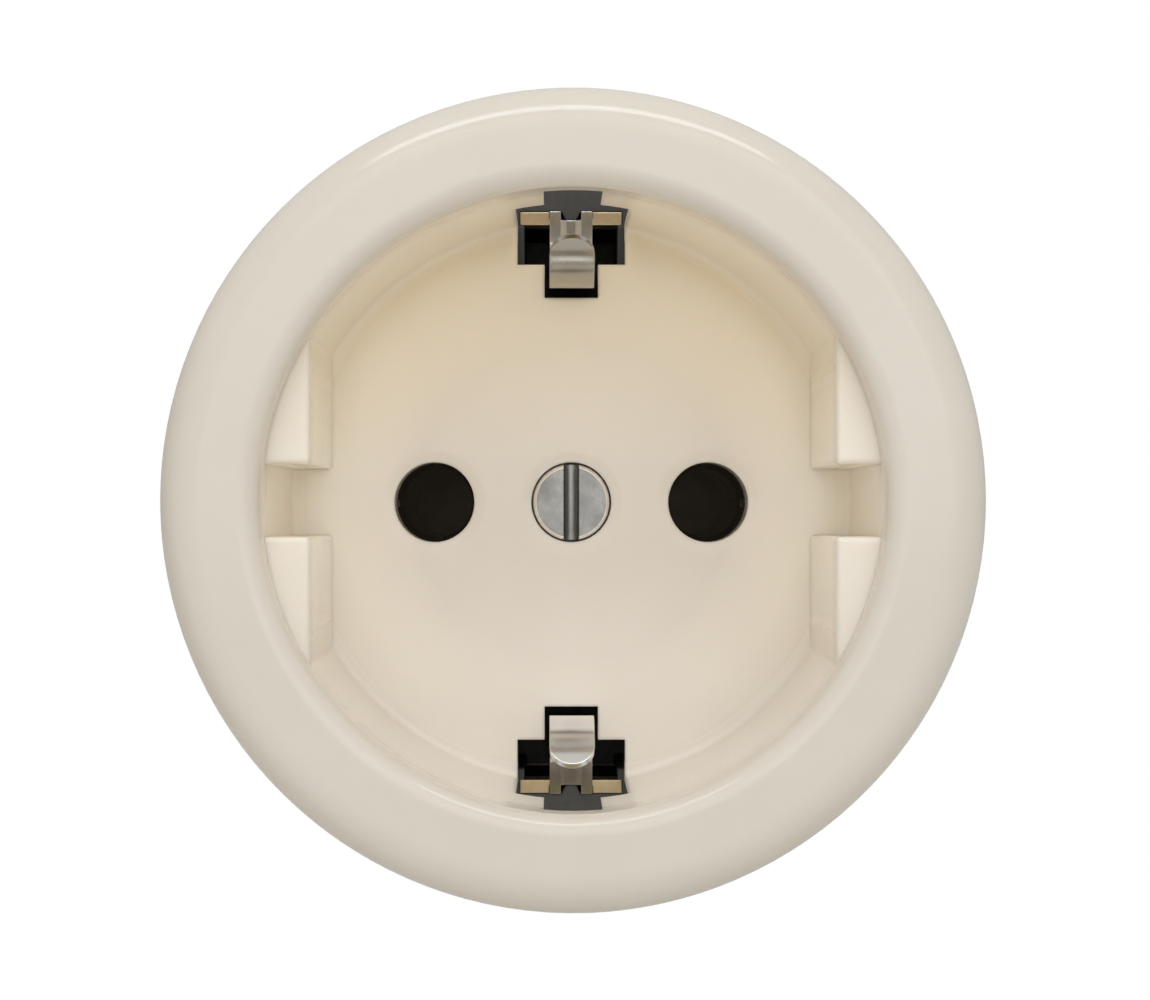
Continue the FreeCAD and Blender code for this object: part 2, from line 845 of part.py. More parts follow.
def contact_right():
    """The right pin contact: a slotted sleeve and its terminal block."""
    sleeve = rod(sleeve_r, chamber_front, block_front, pin_x)
    groove_from = chamber_front + contact_ring_place
    groove = tube(
        sleeve_r + over, sleeve_r - groove_depth,
        groove_from, groove_from + contact_ring_width, pin_x,
    )
    contact = sleeve.cut(groove).fuse(block(
        block_inner_x, block_outer_x,
        block_front, housing_rear,
        -block_height / 2, block_height / 2,
    ))
    contact = contact.cut(rod(sleeve_bore_r, chamber_front - over, housing_rear - block_bore_end, pin_x))
    lead = Part.makeCone(
        sleeve_bore_r + sleeve_lead, sleeve_bore_r, sleeve_lead,
        Vector(pin_x, chamber_front, 0), Vector(0, 1, 0),
    )
    contact = contact.cut(lead)
    for turn in (0, 90):
        slit = block(
            -sleeve_r - over, sleeve_r + over,
            chamber_front - over, chamber_front + sleeve_slit_depth,
            -sleeve_slit / 2, sleeve_slit / 2,
        )
        slit = turn_about_y(slit, turn)
        slit.translate(Vector(pin_x, 0, 0))
        contact = contact.cut(slit)
    contact = contact.cut(rod(wire_bore_r, block_front - over, housing_rear + over, wire_place_x))
    screw_bore = Part.makeCylinder(
        terminal_screw_r + close_fit, housing_r,
        Vector(wire_place_x, terminal_y, 0), Vector(1, 0, 0),
    )
    return contact.cut(screw_bore).removeSplitter()


def contact_ring_right():
    """The split ring spring in the sleeve's groove."""
    start = chamber_front + contact_ring_place + close_fit / 2
    end = start + contact_ring_width - close_fit
    inner = sleeve_r - groove_depth + close_fit / 2
    ring = tube(inner + contact_ring_thick, inner, start, end, pin_x)
    gap = block(
        pin_x, pin_x + sleeve_r + contact_ring_thick + over,
        start - over, end + over,
        -contact_ring_gap / 2, contact_ring_gap / 2,
    )
    return ring.cut(gap)


def terminal_screw_right():
    """The wire screw of the right terminal, its tip just short of the wire's bore."""
    return screw_along_x(
        terminal_screw_r, wire_place_x + wire_bore_r,
        block_outer_x + terminal_gap,
        terminal_head_r, terminal_head_thick,
        terminal_slot, terminal_slot_depth, terminal_y,
    )


def make_rivet(x, z):
    """A rivet through the housing and the back plate, with a flat head at each end."""
    shank = rod(rivet_r, housing_front, back_plate_rear, x, z)
    front_head = rod(rivet_head_r, housing_front - rivet_head_thick, housing_front, x, z)
    rear_head = rod(rivet_head_r, back_plate_rear, back_plate_rear + rivet_head_thick, x, z)
    return shank.fuse([front_head, rear_head]).removeSplitter()


def mirrored(shape):
    """The left-hand twin of a right-hand piece."""
    return shape.mirror(Vector(0, 0, 0), Vector(1, 0, 0))


def all_pieces():
    """Every piece by its node's name."""
    pieces = {
        "cover": make_cover(),
        "cover_screw": make_cover_screw(),
        "center_bush": make_center_bush(),
        "support_ring": make_support_ring(),
        "housing": make_housing(),
        "back_plate": make_back_plate(),
        "earth_bridge": make_earth_bridge(),
        "earth_spring_top": earth_spring(),
        "earth_spring_bottom": turn_about_y(earth_spring(), 180),
        "earth_nut": make_earth_nut(),
        "earth_clamp": make_earth_clamp(),
        "earth_screw": make_earth_screw(),
        "contact_right": contact_right(),
        "contact_left": mirrored(contact_right()),
        "contact_ring_right": contact_ring_right(),
        "contact_ring_left": mirrored(contact_ring_right()),
        "terminal_screw_right": terminal_screw_right(),
        "terminal_screw_left": mirrored(terminal_screw_right()),
    }
    for number, angle in enumerate(leg_angles(), start=1):
        pieces["ring_screw_%d" % number] = make_ring_screw(angle)
    for number, place in enumerate(rivet_places(), start=1):
        pieces["rivet_%d" % number] = make_rivet(place[0], place[1])
    return pieces


os.makedirs("parts", exist_ok=True)
for name, shape in all_pieces().items():
    if not shape.isValid() or len(shape.Solids) != 1:
        print("check", name, shape.isValid(), len(shape.Solids))
    shape.exportStep("parts/%s.step" % name)
    print("%-22s volume %9.2f mm3" % (name, shape.Volume))
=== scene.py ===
# %% [markdown]
# A round flush socket with a deep ivory well, side earth springs and a slotted screw in its
# middle. The solids come from the frame, at their real size, in metres: the front faces -Y and +Z
# is up. This lesson dresses them: it sets the camera, the light and the floor, and gives each
# piece its finish.

import json
import math

import bmesh
import bpy
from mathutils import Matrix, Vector

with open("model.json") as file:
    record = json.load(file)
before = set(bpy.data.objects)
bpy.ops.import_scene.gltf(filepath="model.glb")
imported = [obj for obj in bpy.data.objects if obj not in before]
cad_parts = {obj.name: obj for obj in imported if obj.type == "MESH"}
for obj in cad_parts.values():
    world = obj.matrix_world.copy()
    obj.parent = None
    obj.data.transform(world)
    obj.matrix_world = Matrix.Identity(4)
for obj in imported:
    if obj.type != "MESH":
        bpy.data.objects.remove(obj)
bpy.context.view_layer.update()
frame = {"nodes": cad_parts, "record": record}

# %% [markdown]
# The camera stands close in front of the socket, so the well is seen in strong perspective: its
# floor looks clearly smaller than its mouth. Two sizes that are known, the 19 mm between the pin
# holes and the depth of the well, give the distance and the focal length.

# %% Camera
MM = 0.001
IMAGE_WIDE, IMAGE_HIGH = 1150, 1000
FLOOR_PLANE_Y = 7.0 * MM
CAMERA_FROM_FLOOR = 163.0 * MM
PIXELS_PER_MM = 14.416
CAMERA_LEFT = 1.2 * MM
CAMERA_LOW = 1.2 * MM
OBJECT_PIXEL = (571.3, 502.2)
SENSOR_WIDE = 36.0
NEAR_CLIP = 0.01


def make_camera():
    """A camera that looks along +Y, shifted so that the object sits where the picture has it."""
    data = bpy.data.cameras.new("camera")
    camera = bpy.data.objects.new("camera", data)
    bpy.context.collection.objects.link(camera)
    focal_pixels = PIXELS_PER_MM * CAMERA_FROM_FLOOR / MM
    data.sensor_fit = "HORIZONTAL"
    data.sensor_width = SENSOR_WIDE
    data.lens = focal_pixels * data.sensor_width / IMAGE_WIDE
    data.clip_start = NEAR_CLIP
    camera.location = (-CAMERA_LEFT, FLOOR_PLANE_Y - CAMERA_FROM_FLOOR, -CAMERA_LOW)
    camera.rotation_euler = (math.radians(90), 0, 0)
    middle_x = IMAGE_WIDE / 2 + CAMERA_LEFT / MM * PIXELS_PER_MM
    middle_y = IMAGE_HIGH / 2 - CAMERA_LOW / MM * PIXELS_PER_MM
    data.shift_x = (middle_x - OBJECT_PIXEL[0]) / IMAGE_WIDE
    data.shift_y = (OBJECT_PIXEL[1] - middle_y) / IMAGE_WIDE
    bpy.context.scene.camera = camera
    return camera


camera = make_camera()
print("lens %.1f mm" % camera.data.lens)

# %% [markdown]
# The light is soft. A wide lamp high in front and a pale room, brightest in front, leave the rim
# and the floor of the well almost equally bright. A long, narrow lamp above draws a gleam along
# the top of the rim and a fainter one along the lower inner edge. The lamps are large, so no
# shadow has a hard edge.

# %% Light
def soft_lamp(name, place, target, size, power, colour=(1.0, 1.0, 1.0)):
    """A rectangular area lamp at place that looks at target."""
    data = bpy.data.lights.new(name, "AREA")
    data.shape = "RECTANGLE"
    data.size, data.size_y = size
    data.energy = power
    data.color = colour
    lamp = bpy.data.objects.new(name, data)
    bpy.context.collection.objects.link(lamp)
    way = Vector(target) - Vector(place)
    lamp.location = place
    lamp.rotation_euler = way.to_track_quat("-Z", "Y").to_euler()
    return lamp


# Places and sizes are in metres, powers in watts.
MIDDLE = (0.0, 0.0, 0.0)
TOP_PLACE, TOP_SIZE, TOP_POWER = (0.0, -0.13, 0.21), (0.24, 0.05), 0.185
TOP_COLOUR = (0.93, 0.97, 1.0)
FRONT_PLACE, FRONT_SIZE, FRONT_POWER = (0.05, -0.62, 0.22), (0.6, 0.5), 0.80

soft_lamp("top_light", TOP_PLACE, MIDDLE, TOP_SIZE, TOP_POWER, TOP_COLOUR)
soft_lamp("front_light", FRONT_PLACE, MIDDLE, FRONT_SIZE, FRONT_POWER)

# The room's brightness goes from front to sides between these shares of the view direction, and
# from below to full along BRIGHT_SIDE between these heights.
FRONT_SPAN = (-0.85, -0.5)
HEIGHT_SPAN = (-0.6, 0.6)
BRIGHT_SIDE = (-0.05, 0.0, 1.0)
ROOM_COLOUR = (1.0, 0.985, 0.96, 1.0)
WHITE = (1.0, 1.0, 1.0, 1.0)


def pale_world(front, sides, below):
    """A pale room, white to the camera: its levels in front and at the sides, a factor below."""
    world = bpy.data.worlds.new("studio")
    bpy.context.scene.world = world
    world.use_nodes = True
    tree = world.node_tree
    nodes, links = tree.nodes, tree.links
    nodes.clear()
    way = nodes.new("ShaderNodeSeparateXYZ")
    direction = nodes.new("ShaderNodeTexCoord").outputs["Generated"]
    links.new(direction, way.inputs[0])
    by_side = nodes.new("ShaderNodeMapRange")
    by_side.interpolation_type = "SMOOTHSTEP"
    by_height = nodes.new("ShaderNodeMapRange")
    upward = nodes.new("ShaderNodeVectorMath")
    upward.operation = "DOT_PRODUCT"
    links.new(direction, upward.inputs[0])
    upward.inputs[1].default_value = BRIGHT_SIDE
    links.new(way.outputs["Y"], by_side.inputs["Value"])
    links.new(upward.outputs["Value"], by_height.inputs["Value"])
    spans = ((by_side, FRONT_SPAN + (front, sides)), (by_height, HEIGHT_SPAN + (below, 1.0)))
    for node, span in spans:
        for place, value in zip(("From Min", "From Max", "To Min", "To Max"), span):
            node.inputs[place].default_value = value
    level = nodes.new("ShaderNodeMath")
    level.operation = "MULTIPLY"
    links.new(by_side.outputs["Result"], level.inputs[0])
    links.new(by_height.outputs["Result"], level.inputs[1])
    room = nodes.new("ShaderNodeBackground")
    room.inputs["Color"].default_value = ROOM_COLOUR
    links.new(level.outputs[0], room.inputs["Strength"])
    seen = nodes.new("ShaderNodeBackground")
    seen.inputs["Color"].default_value = WHITE
    seen.inputs["Strength"].default_value = 1.0
    path = nodes.new("ShaderNodeLightPath")
    pick = nodes.new("ShaderNodeMixShader")
    out = nodes.new("ShaderNodeOutputWorld")
    links.new(path.outputs["Is Camera Ray"], pick.inputs["Fac"])
    links.new(room.outputs["Background"], pick.inputs[1])
    links.new(seen.outputs["Background"], pick.inputs[2])
    links.new(pick.outputs["Shader"], out.inputs["Surface"])


pale_world(front=0.96, sides=0.66, below=0.50)
bpy.context.scene.view_settings.view_transform = "Standard"

# %% [markdown]
# A few helpers keep the node trees short. Colours are written as they look on a screen, from 0 to
# 255, and turned into the linear values that the shaders use.

# %% Node helpers
def screen(red, green, blue):
    """A linear colour from its screen values."""
    values = []
    for value in (red, green, blue):
        share = value / 255
        values.append(share / 12.92 if share <= 0.04045 else ((share + 0.055) / 1.055) ** 2.4)
    return tuple(values) + (1.0,)


def add_node(tree, kind, **settings):
    """A new node; settings name its properties, and names that start with in_ its sockets."""
    node = tree.nodes.new("ShaderNode" + kind)
    for name, value in settings.items():
        if name.startswith("in_"):
            node.inputs[name[3:].replace("_", " ")].default_value = value
        else:
            setattr(node, name, value)
    return node


# Places of the colour sockets in a Mix node that is set to RGBA.
MIX_FACTOR, MIX_FIRST, MIX_SECOND, MIX_RESULT = 0, 6, 7, 2


def blend(tree, factor, first, second):
    """A mix of two colours, given as values or sockets; returns its result socket."""
    node = add_node(tree, "Mix", data_type="RGBA")
    for place, value in ((MIX_FACTOR, factor), (MIX_FIRST, first), (MIX_SECOND, second)):
        socket = node.inputs[place]
        if isinstance(value, bpy.types.NodeSocket):
            tree.links.new(value, socket)
        else:
            socket.default_value = value
    return node.outputs[MIX_RESULT]


def spread(tree, value, low, high, to_low=0.0, to_high=1.0):
    """A value socket mapped from low..high to to_low..to_high; returns the result socket."""
    node = add_node(tree, "MapRange")
    node.inputs["From Min"].default_value = low
    node.inputs["From Max"].default_value = high
    node.inputs["To Min"].default_value = to_low
    node.inputs["To Max"].default_value = to_high
    tree.links.new(value, node.inputs["Value"])
    return node.outputs["Result"]


def noise(tree, place, scale, detail=2.0, roughness=0.5):
    """A noise texture on the given coordinates; returns its value socket."""
    node = add_node(tree, "TexNoise", in_Scale=scale, in_Detail=detail, in_Roughness=roughness)
    tree.links.new(place, node.inputs["Vector"])
    return node.outputs["Fac"]


def multiply(tree, first, second):
    """The product of two value sockets."""
    node = add_node(tree, "Math", operation="MULTIPLY")
    tree.links.new(first, node.inputs[0])
    tree.links.new(second, node.inputs[1])
    return node.outputs[0]


def along(tree, way):
    """How far a surface point lies along a direction from the origin."""
    node = add_node(tree, "VectorMath", operation="DOT_PRODUCT")
    tree.links.new(add_node(tree, "TexCoord").outputs["Object"], node.inputs[0])
    node.inputs[1].default_value = way
    return node.outputs["Value"]


def reach_from(tree, side):
    """The distance of a surface point from the two lines along Y at x = side and x = -side."""
    place = add_node(tree, "SeparateXYZ")
    tree.links.new(add_node(tree, "TexCoord").outputs["Object"], place.inputs[0])
    out = add_node(tree, "Math", operation="ABSOLUTE")
    tree.links.new(place.outputs["X"], out.inputs[0])
    off = add_node(tree, "Math", operation="SUBTRACT")
    tree.links.new(out.outputs[0], off.inputs[0])
    off.inputs[1].default_value = side
    plan = add_node(tree, "CombineXYZ")
    tree.links.new(off.outputs[0], plan.inputs["X"])
    tree.links.new(place.outputs["Z"], plan.inputs["Z"])
    reach = add_node(tree, "VectorMath", operation="LENGTH")
    tree.links.new(plan.outputs[0], reach.inputs[0])
    return reach.outputs["Value"]


def new_group(name, inputs, outputs):
    """An empty node group with float inputs, given with their values, and the named outputs."""
    group = bpy.data.node_groups.new(name, "ShaderNodeTree")
    for label, value in inputs.items():
        socket = group.interface.new_socket(label, in_out="INPUT", socket_type="NodeSocketFloat")
        socket.default_value = value
    for label, kind in outputs.items():
        group.interface.new_socket(label, in_out="OUTPUT", socket_type="NodeSocket" + kind)
    return group, group.nodes.new("NodeGroupInput"), group.nodes.new("NodeGroupOutput")


def new_material(name):
    """A material with its Principled shader; returns the material, its tree and the shader."""
    material = bpy.data.materials.new(name)
    material.use_nodes = True
    tree = material.node_tree
    return material, tree, tree.nodes["Principled BSDF"]


def use_group(tree, group, **values):
    """A group's node in a material, with its float inputs set."""
    node = tree.nodes.new("ShaderNodeGroup")
    node.node_tree = group
    for name, value in values.items():
        node.inputs[name.replace("_", " ")].default_value = value
    return node


# %% [markdown]
# Two effects are shared. Moulded plastic has a slow cloudiness, a fine grain and slightly rounded
# edges. Metal has soft mottling, thin lines along the direction in which it was drawn or rolled,
# and edges that catch the light.

# %% Shared effects
# Noise scales are per metre, depths are in metres.
CLOUD_SCALE, GRAIN_SCALE, GRAIN_DEPTH = 70.0, 2600.0, 0.00004
MOTTLE_SCALE, LINE_SCALE, LINE_DEPTH = 420.0, 5200.0, 0.00002
LINE_STRETCH = (1.0, 0.06, 0.35)
EVEN_SPAN = (0.3, 0.7)
GRAIN_SPAN = (0.25, 0.75)
BEVEL_SAMPLES = 6


def rounded_normal(group, source, grain, depth):
    """Rounds the edges by the source's Edge and adds the grain as a bump; returns the normal."""
    edge = add_node(group, "Bevel", samples=BEVEL_SAMPLES)
    group.links.new(source.outputs["Edge"], edge.inputs["Radius"])
    bump = add_node(group, "Bump", in_Distance=depth)
    group.links.new(source.outputs["Bump"], bump.inputs["Strength"])
    group.links.new(grain, bump.inputs["Height"])
    group.links.new(edge.outputs["Normal"], bump.inputs["Normal"])
    return bump.outputs["Normal"]


def make_moulded_skin():
    """Cloud, grain and normal of a moulded surface."""
    group, source, result = new_group(
        "moulded_skin",
        {"Edge": 0.0002, "Bump": 0.1},
        {"Cloud": "Float", "Grain": "Float", "Normal": "Vector"},
    )
    place = add_node(group, "TexCoord").outputs["Object"]
    cloud = noise(group, place, CLOUD_SCALE, 4.0, 0.6)
    grain = noise(group, place, GRAIN_SCALE, 3.0, 0.6)
    normal = rounded_normal(group, source, grain, GRAIN_DEPTH)
    group.links.new(spread(group, cloud, *EVEN_SPAN), result.inputs["Cloud"])
    group.links.new(spread(group, grain, *GRAIN_SPAN), result.inputs["Grain"])
    group.links.new(normal, result.inputs["Normal"])
    return group


def make_worked_metal():
    """Mottle, lines and normal of a drawn, rolled or turned metal; the lines run along Y."""
    group, source, result = new_group(
        "worked_metal",
        {"Edge": 0.0001, "Bump": 0.1, "Fine": 1.0},
        {"Mottle": "Float", "Lines": "Float", "Normal": "Vector"},
    )
    place = add_node(group, "TexCoord").outputs["Object"]
    mottle = noise(group, place, MOTTLE_SCALE, 5.0, 0.65)
    drawn = add_node(group, "Mapping")
    drawn.inputs["Scale"].default_value = LINE_STRETCH
    group.links.new(place, drawn.inputs["Vector"])
    finer = add_node(group, "VectorMath", operation="SCALE")
    group.links.new(drawn.outputs["Vector"], finer.inputs[0])
    group.links.new(source.outputs["Fine"], finer.inputs["Scale"])
    lines = noise(group, finer.outputs["Vector"], LINE_SCALE, 2.0, 0.5)
    normal = rounded_normal(group, source, lines, LINE_DEPTH)
    group.links.new(spread(group, mottle, *EVEN_SPAN), result.inputs["Mottle"])
    group.links.new(spread(group, lines, *EVEN_SPAN), result.inputs["Lines"])
    group.links.new(normal, result.inputs["Normal"])
    return group


moulded_skin = make_moulded_skin()
worked_metal = make_worked_metal()
print("groups:", [group.name for group in bpy.data.node_groups])

# %% [markdown]
# The cover is old ivory plastic: a warm pale body with a smooth gloss. Its colour is very
# slightly uneven and light goes a little way into it. Light and shade are painted into it: the
# rim is painted darker than the well, with painted shade at its lower outer edge. The well is
# painted paler, with painted light in its nooks and on its lower part, and painted warm shade on
# the upper part of its floor. The well's wall is less glossy, and painted lighter where it is
# high. The masks follow the distance from the middle axis, the depth and the height.

# %% Ivory plastic
RIM_FRONT_Y = -10.5 * MM
RIM_BACK_Y = -5.0 * MM
# Where the painted shade lies on the rim's lower outer edge.
EDGE_BAND = (24.6 * MM, 26.0 * MM)
EDGE_SIDE = (0.45, 0.0, 0.89)
EDGE_SPAN = (8.0 * MM, -13.0 * MM)
# Where the painted light in the well's nooks begins.
FLOOR_BAND = (11.0 * MM, 16.0 * MM)
WELL_WALL_BAND = (18.2 * MM, 18.8 * MM)
OUTER_WALL_BAND = (20.3 * MM, 20.8 * MM)
# Heights of the painted warm shade above and the painted light below in the well.
WARM_SPAN = (2.0 * MM, 17.0 * MM)
PALE_SPAN = (-3.0 * MM, -15.0 * MM)
# Where the painted light on the well's high wall lies.
HIGH_WALL_BAND = (18.8 * MM, 19.4 * MM)
HIGH_WALL_SPAN = (3.0 * MM, 9.0 * MM)
IVORY_GLOSS = (0.12, 0.17)
WALL_DULLING = 0.2
IVORY_EDGE, IVORY_BUMP = 0.00035, 0.05
IVORY_IOR = 1.5
SCATTER_SHARE, SCATTER_REACH, SCATTER_COLOUR = 0.3, 0.001, (1.0, 0.75, 0.55)


def ivory_colour_with_painted_light(tree, cloud, reach, depth):
    """The ivory's colour with painted light and shade: darker rim, paler well, warmer above."""
    # Painted light: the rim is toned darker than the well, so that the well's shade is evened out.
    rim = blend(tree, cloud, screen(212, 205, 193), screen(216, 209, 198))
    # Painted shade on the lower outer edge of the rim.
    painted_shade_edge = blend(tree, cloud, screen(200, 190, 174), screen(206, 197, 182))
    lower = spread(tree, along(tree, EDGE_SIDE), *EDGE_SPAN)
    rim = blend(tree, multiply(tree, spread(tree, reach, *EDGE_BAND), lower), rim, painted_shade_edge)
    # The well's middle is painted paler than the rim.
    middle = blend(tree, cloud, screen(227, 219, 207), screen(231, 223, 212))
    # Painted light in the nooks by the walls and ribs, where shade falls.
    nook_painted_light = blend(tree, cloud, screen(255, 244, 227), screen(255, 246, 232))
    # Painted warm shade on the upper part of the floor.
    warm = blend(tree, cloud, screen(245, 230, 202), screen(248, 234, 208))
    # Painted light on the lower part of the well.
    pale = blend(tree, cloud, screen(231, 224, 213), screen(235, 228, 218))
    height = along(tree, (0.0, 0.0, 1.0))
    well = blend(tree, spread(tree, reach, *FLOOR_BAND), middle, nook_painted_light)
    well = blend(tree, spread(tree, height, *WARM_SPAN), well, warm)
    well = blend(tree, spread(tree, height, *PALE_SPAN), well, pale)
    # Painted light on the high part of the well's wall, which lies in shade.
    high_wall_painted_light = blend(tree, cloud, screen(255, 241, 220), screen(255, 243, 224))
    wall_mask = spread(tree, reach, *HIGH_WALL_BAND)
    wall_mask = multiply(tree, wall_mask, spread(tree, height, *HIGH_WALL_SPAN))
    well = blend(tree, wall_mask, well, high_wall_painted_light)
    inside = blend(tree, depth, rim, well)
    return blend(tree, spread(tree, reach, *OUTER_WALL_BAND), inside, rim)


def make_ivory():
    """Glossy ivory plastic with painted light and shade by place; light enters it a little."""
    material, tree, shader = new_material("ivory_plastic")
    skin = use_group(tree, moulded_skin, Edge=IVORY_EDGE, Bump=IVORY_BUMP)
    cloud = skin.outputs["Cloud"]
    reach = reach_from(tree, 0.0)
    depth = spread(tree, along(tree, (0.0, 1.0, 0.0)), RIM_FRONT_Y, RIM_BACK_Y)
    tree.links.new(ivory_colour_with_painted_light(tree, cloud, reach, depth), shader.inputs["Base Color"])
    wall = multiply(tree, depth, spread(tree, reach, *WELL_WALL_BAND))
    gloss = add_node(tree, "Math", operation="MULTIPLY_ADD")
    tree.links.new(wall, gloss.inputs[0])
    gloss.inputs[1].default_value = WALL_DULLING
    tree.links.new(spread(tree, cloud, 0.0, 1.0, *IVORY_GLOSS), gloss.inputs[2])
    tree.links.new(gloss.outputs[0], shader.inputs["Roughness"])
    tree.links.new(skin.outputs["Normal"], shader.inputs["Normal"])
    shader.inputs["IOR"].default_value = IVORY_IOR
    shader.inputs["Subsurface Weight"].default_value = SCATTER_SHARE
    shader.inputs["Subsurface Radius"].default_value = SCATTER_COLOUR
    shader.inputs["Subsurface Scale"].default_value = SCATTER_REACH
    return material


# %% [markdown]
# The housing behind it is a dark grey moulding with a matt grain. The back plate is laminated
# paper: brown, with faint fibres and, at its edge, thin layers one above the other.

# %% Dark plastic and laminate
GREY_GLOSS = (0.42, 0.58)
GRAIN_SHADE = 0.35
FIBRE_SCALE, FIBRE_STRETCH = 1500.0, (1.0, 6.0, 0.18)
FIBRE_SHADE = 0.6
LAMINATE_GLOSS = (0.34, 0.5)


def make_grey():
    """Matt dark grey plastic with a fine grain."""
    material, tree, shader = new_material("grey_plastic")
    skin = use_group(tree, moulded_skin, Edge=0.00025, Bump=0.35)
    grain = skin.outputs["Grain"]
    body = blend(tree, skin.outputs["Cloud"], screen(68, 68, 67), screen(82, 81, 80))
    shade = spread(tree, grain, 0.0, 1.0, 0.0, GRAIN_SHADE)
    body = blend(tree, shade, body, screen(50, 50, 50))
    tree.links.new(body, shader.inputs["Base Color"])
    tree.links.new(spread(tree, grain, 0.0, 1.0, *GREY_GLOSS), shader.inputs["Roughness"])
    tree.links.new(skin.outputs["Normal"], shader.inputs["Normal"])
    return material


def make_laminate():
    """Brown laminated paper with faint fibres, and thin layers at its edge."""
    material, tree, shader = new_material("laminate")
    skin = use_group(tree, moulded_skin, Edge=0.00015, Bump=0.2)
    place = add_node(tree, "TexCoord").outputs["Object"]
    stretch = add_node(tree, "Mapping")
    stretch.inputs["Scale"].default_value = FIBRE_STRETCH
    tree.links.new(place, stretch.inputs["Vector"])
    fibre = noise(tree, stretch.outputs["Vector"], FIBRE_SCALE, 3.0, 0.6)
    body = blend(tree, skin.outputs["Cloud"], screen(112, 66, 38), screen(134, 84, 50))
    shade = spread(tree, fibre, 0.35, 0.7, 0.0, FIBRE_SHADE)
    body = blend(tree, shade, body, screen(84, 48, 28))
    gloss = spread(tree, fibre, *EVEN_SPAN, *LAMINATE_GLOSS)
    tree.links.new(body, shader.inputs["Base Color"])
    tree.links.new(gloss, shader.inputs["Roughness"])
    tree.links.new(skin.outputs["Normal"], shader.inputs["Normal"])
    return material


# %% [markdown]
# The metals share one effect and differ in colour and gloss. The ring is steel with a yellow
# passivation that shifts between straw, green and rose. The screws are nickel on turned steel, a
# little mottled, and the cover screw has a painted highlight, a bright ring on its chamfer. The
# earth springs are smooth nickel-plated strip with painted reflections: the upper bow is painted
# darker, the lower one is bright, and the roots have painted tones of their own. Brass darkens
# where it is mottled. Deep in the bores of the contacts it has painted shade, almost black, and a
# faint painted glow.

# %% Metals
METAL_EDGE = 0.0001
LINE_SHADE = 0.25


def metal(name, light, dark, roughness, bump=0.08, fine=1.0):
    """A metal between two colours with a span of roughness.

    Returns the material, its tree, its shader and its colour socket.
    """
    material, tree, shader = new_material(name)
    worked = use_group(tree, worked_metal, Edge=METAL_EDGE, Bump=bump, Fine=fine)
    mottle = worked.outputs["Mottle"]
    shade = spread(tree, worked.outputs["Lines"], 0.0, 1.0, 0.0, LINE_SHADE)
    colour = blend(tree, shade, blend(tree, mottle, light, dark), dark)
    shader.inputs["Metallic"].default_value = 1.0
    tree.links.new(colour, shader.inputs["Base Color"])
    tree.links.new(spread(tree, mottle, 0.0, 1.0, *roughness), shader.inputs["Roughness"])
    tree.links.new(worked.outputs["Normal"], shader.inputs["Normal"])
    return material, tree, shader, colour


SHIFT_SCALE = 110.0
SHIFT_SHARE = 0.55
GREENISH, STRAW, ROSE = screen(206, 214, 168), screen(224, 206, 148), screen(216, 178, 160)
GREENISH_AT, STRAW_AT, ROSE_AT = 0.34, 0.5, 0.66


def make_yellow_steel():
    """Yellow passivated steel that shifts slowly between green, straw and rose."""
    material, tree, shader, colour = metal(
        "passivated_steel", screen(214, 202, 164), screen(190, 178, 140), (0.28, 0.42),
    )
    place = add_node(tree, "TexCoord").outputs["Object"]
    shift = noise(tree, place, SHIFT_SCALE, 3.0, 0.55)
    ramp = add_node(tree, "ValToRGB")
    first, last = ramp.color_ramp.elements
    first.position, first.color = GREENISH_AT, GREENISH
    last.position, last.color = ROSE_AT, ROSE
    ramp.color_ramp.elements.new(STRAW_AT).color = STRAW
    tree.links.new(shift, ramp.inputs["Fac"])
    tint = blend(tree, SHIFT_SHARE, colour, ramp.outputs["Color"])
    tree.links.new(tint, shader.inputs["Base Color"])
    return material


PIN_X = 9.5 * MM
SLEEVE_R = 3.4 * MM
BORE_BAND = (SLEEVE_R * 0.95, SLEEVE_R * 0.99)
# Painted shade in the contacts' bores, and their faint painted glow.
BORE_PAINTED_SHADE = screen(34, 29, 24)
BORE_PAINTED_GLOW = screen(20, 17, 13)


def make_brass():
    """Mottled brass; bores with painted shade and a faint painted glow for the light inside."""
    material, tree, shader, colour = metal(
        "brass", screen(236, 219, 190), screen(212, 189, 152), (0.28, 0.44), bump=0.12,
    )
    # Painted shade, almost black, in the bores, and a faint painted glow there.
    bore = spread(tree, reach_from(tree, PIN_X), *BORE_BAND, 1.0, 0.0)
    glow = blend(tree, bore, screen(0, 0, 0), BORE_PAINTED_GLOW)
    tree.links.new(blend(tree, bore, colour, BORE_PAINTED_SHADE), shader.inputs["Base Color"])
    tree.links.new(glow, shader.inputs["Emission Color"])
    shader.inputs["Emission Strength"].default_value = 1.0
    return material


SPRING_HEIGHTS = (-5.0 * MM, 5.0 * MM)
SPRING_DEPTHS = (6.5 * MM, 8.0 * MM)
# Painted reflections: the tones of the upper bow and of the two roots.
UPPER_BOW_PAINTED_REFLECTION = screen(184, 180, 171)
LOWER_ROOT_PAINTED_REFLECTION = screen(172, 165, 156)
UPPER_ROOT_PAINTED_REFLECTION = screen(226, 226, 226)


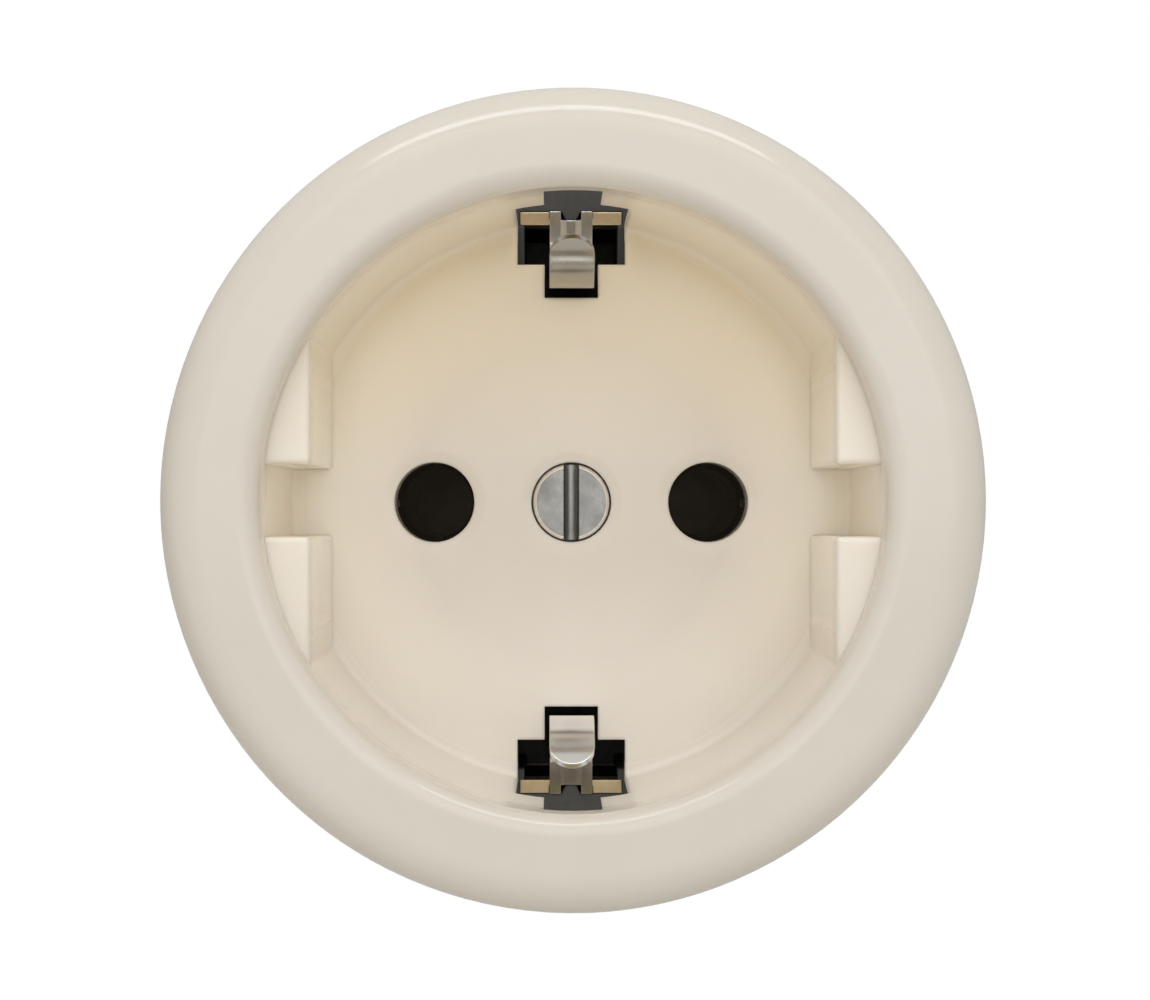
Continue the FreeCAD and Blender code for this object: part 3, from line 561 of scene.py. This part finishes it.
def make_plated_strip():
    """Smooth strip with painted reflections that differ between the springs, and bow and root."""
    material, tree, shader, colour = metal(
        "plated_strip", screen(242, 242, 243), screen(230, 230, 230), (0.15, 0.21),
        bump=0.05, fine=1.6,
    )
    upper = spread(tree, along(tree, (0.0, 0.0, 1.0)), *SPRING_HEIGHTS)
    behind = spread(tree, along(tree, (0.0, 1.0, 0.0)), *SPRING_DEPTHS)
    # Painted reflections by place: upper against lower spring, bow against root.
    bow = blend(tree, upper, colour, UPPER_BOW_PAINTED_REFLECTION)
    root = blend(tree, upper, LOWER_ROOT_PAINTED_REFLECTION, UPPER_ROOT_PAINTED_REFLECTION)
    tree.links.new(blend(tree, behind, bow, root), shader.inputs["Base Color"])
    return material


CHAMFER_R = 2.45 * MM
CHAMFER_BAND = (CHAMFER_R * 0.985, CHAMFER_R * 0.995)
CHAMFER_DEPTHS = (7.25 * MM, 7.3 * MM)
# Painted highlight on the cover screw's chamfer.
CHAMFER_PAINTED_HIGHLIGHT = screen(246, 243, 238)


def make_plated_steel():
    """Turned nickel-plated steel; the cover screw's chamfer carries a painted bright ring."""
    material, tree, shader, colour = metal(
        "plated_steel", screen(166, 164, 161), screen(126, 125, 122), (0.22, 0.40), bump=0.1,
    )
    ring = spread(tree, reach_from(tree, 0.0), *CHAMFER_BAND)
    front = spread(tree, along(tree, (0.0, 1.0, 0.0)), *CHAMFER_DEPTHS, 1.0, 0.0)
    # Painted highlight: a bright ring on the chamfer.
    bright = blend(tree, multiply(tree, ring, front), colour, CHAMFER_PAINTED_HIGHLIGHT)
    tree.links.new(bright, shader.inputs["Base Color"])
    return material


finish = {
    "ivory_plastic": make_ivory(),
    "grey_plastic": make_grey(),
    "laminate": make_laminate(),
    "passivated_steel": make_yellow_steel(),
    "plated_steel": make_plated_steel(),
    "plated_strip": make_plated_strip(),
    "brass": make_brass(),
}
print("finishes:", sorted(finish))

# %% [markdown]
# Each solid gets the finish of its material slot, as the record names it.

# %% Dress the solids
def dress(node, material):
    """Puts a material in every slot of a carried-over solid."""
    solid = frame["nodes"][node]
    if not solid.material_slots:
        solid.data.materials.append(material)
    for place in solid.material_slots:
        place.material = material


for part in frame["record"]["subparts"]:
    dress(part["node"], finish[part["material_slot"]])

# %% [markdown]
# The floor is plain and pale. To the camera it is white like the room, so the socket stands free,
# and it sends a little light up to the underside.

# %% Floor
FLOOR_Z = -62 * MM
FLOOR_Y = 0.2
FLOOR_HALF = 0.8
FLOOR_COLOUR = (0.85, 0.85, 0.84, 1.0)
FLOOR_ROUGHNESS = 0.8


def make_floor():
    """A flat sheet below the socket, white to the camera and pale to everything else."""
    sheet = bmesh.new()
    bmesh.ops.create_grid(sheet, x_segments=1, y_segments=1, size=FLOOR_HALF)
    bmesh.ops.translate(sheet, verts=sheet.verts, vec=(0, FLOOR_Y, FLOOR_Z))
    mesh = bpy.data.meshes.new("floor")
    sheet.to_mesh(mesh)
    sheet.free()
    floor = bpy.data.objects.new("floor", mesh)
    bpy.context.collection.objects.link(floor)
    material, tree, shader = new_material("pale_floor")
    shader.inputs["Base Color"].default_value = FLOOR_COLOUR
    shader.inputs["Roughness"].default_value = FLOOR_ROUGHNESS
    white = add_node(tree, "Emission")
    pick = add_node(tree, "MixShader")
    path = add_node(tree, "LightPath")
    tree.links.new(path.outputs["Is Camera Ray"], pick.inputs["Fac"])
    tree.links.new(shader.outputs["BSDF"], pick.inputs[1])
    tree.links.new(white.outputs["Emission"], pick.inputs[2])
    tree.links.new(pick.outputs["Shader"], tree.nodes["Material Output"].inputs["Surface"])
    mesh.materials.append(material)
    return floor


make_floor()
print("floor at %.0f mm" % (FLOOR_Z / MM))
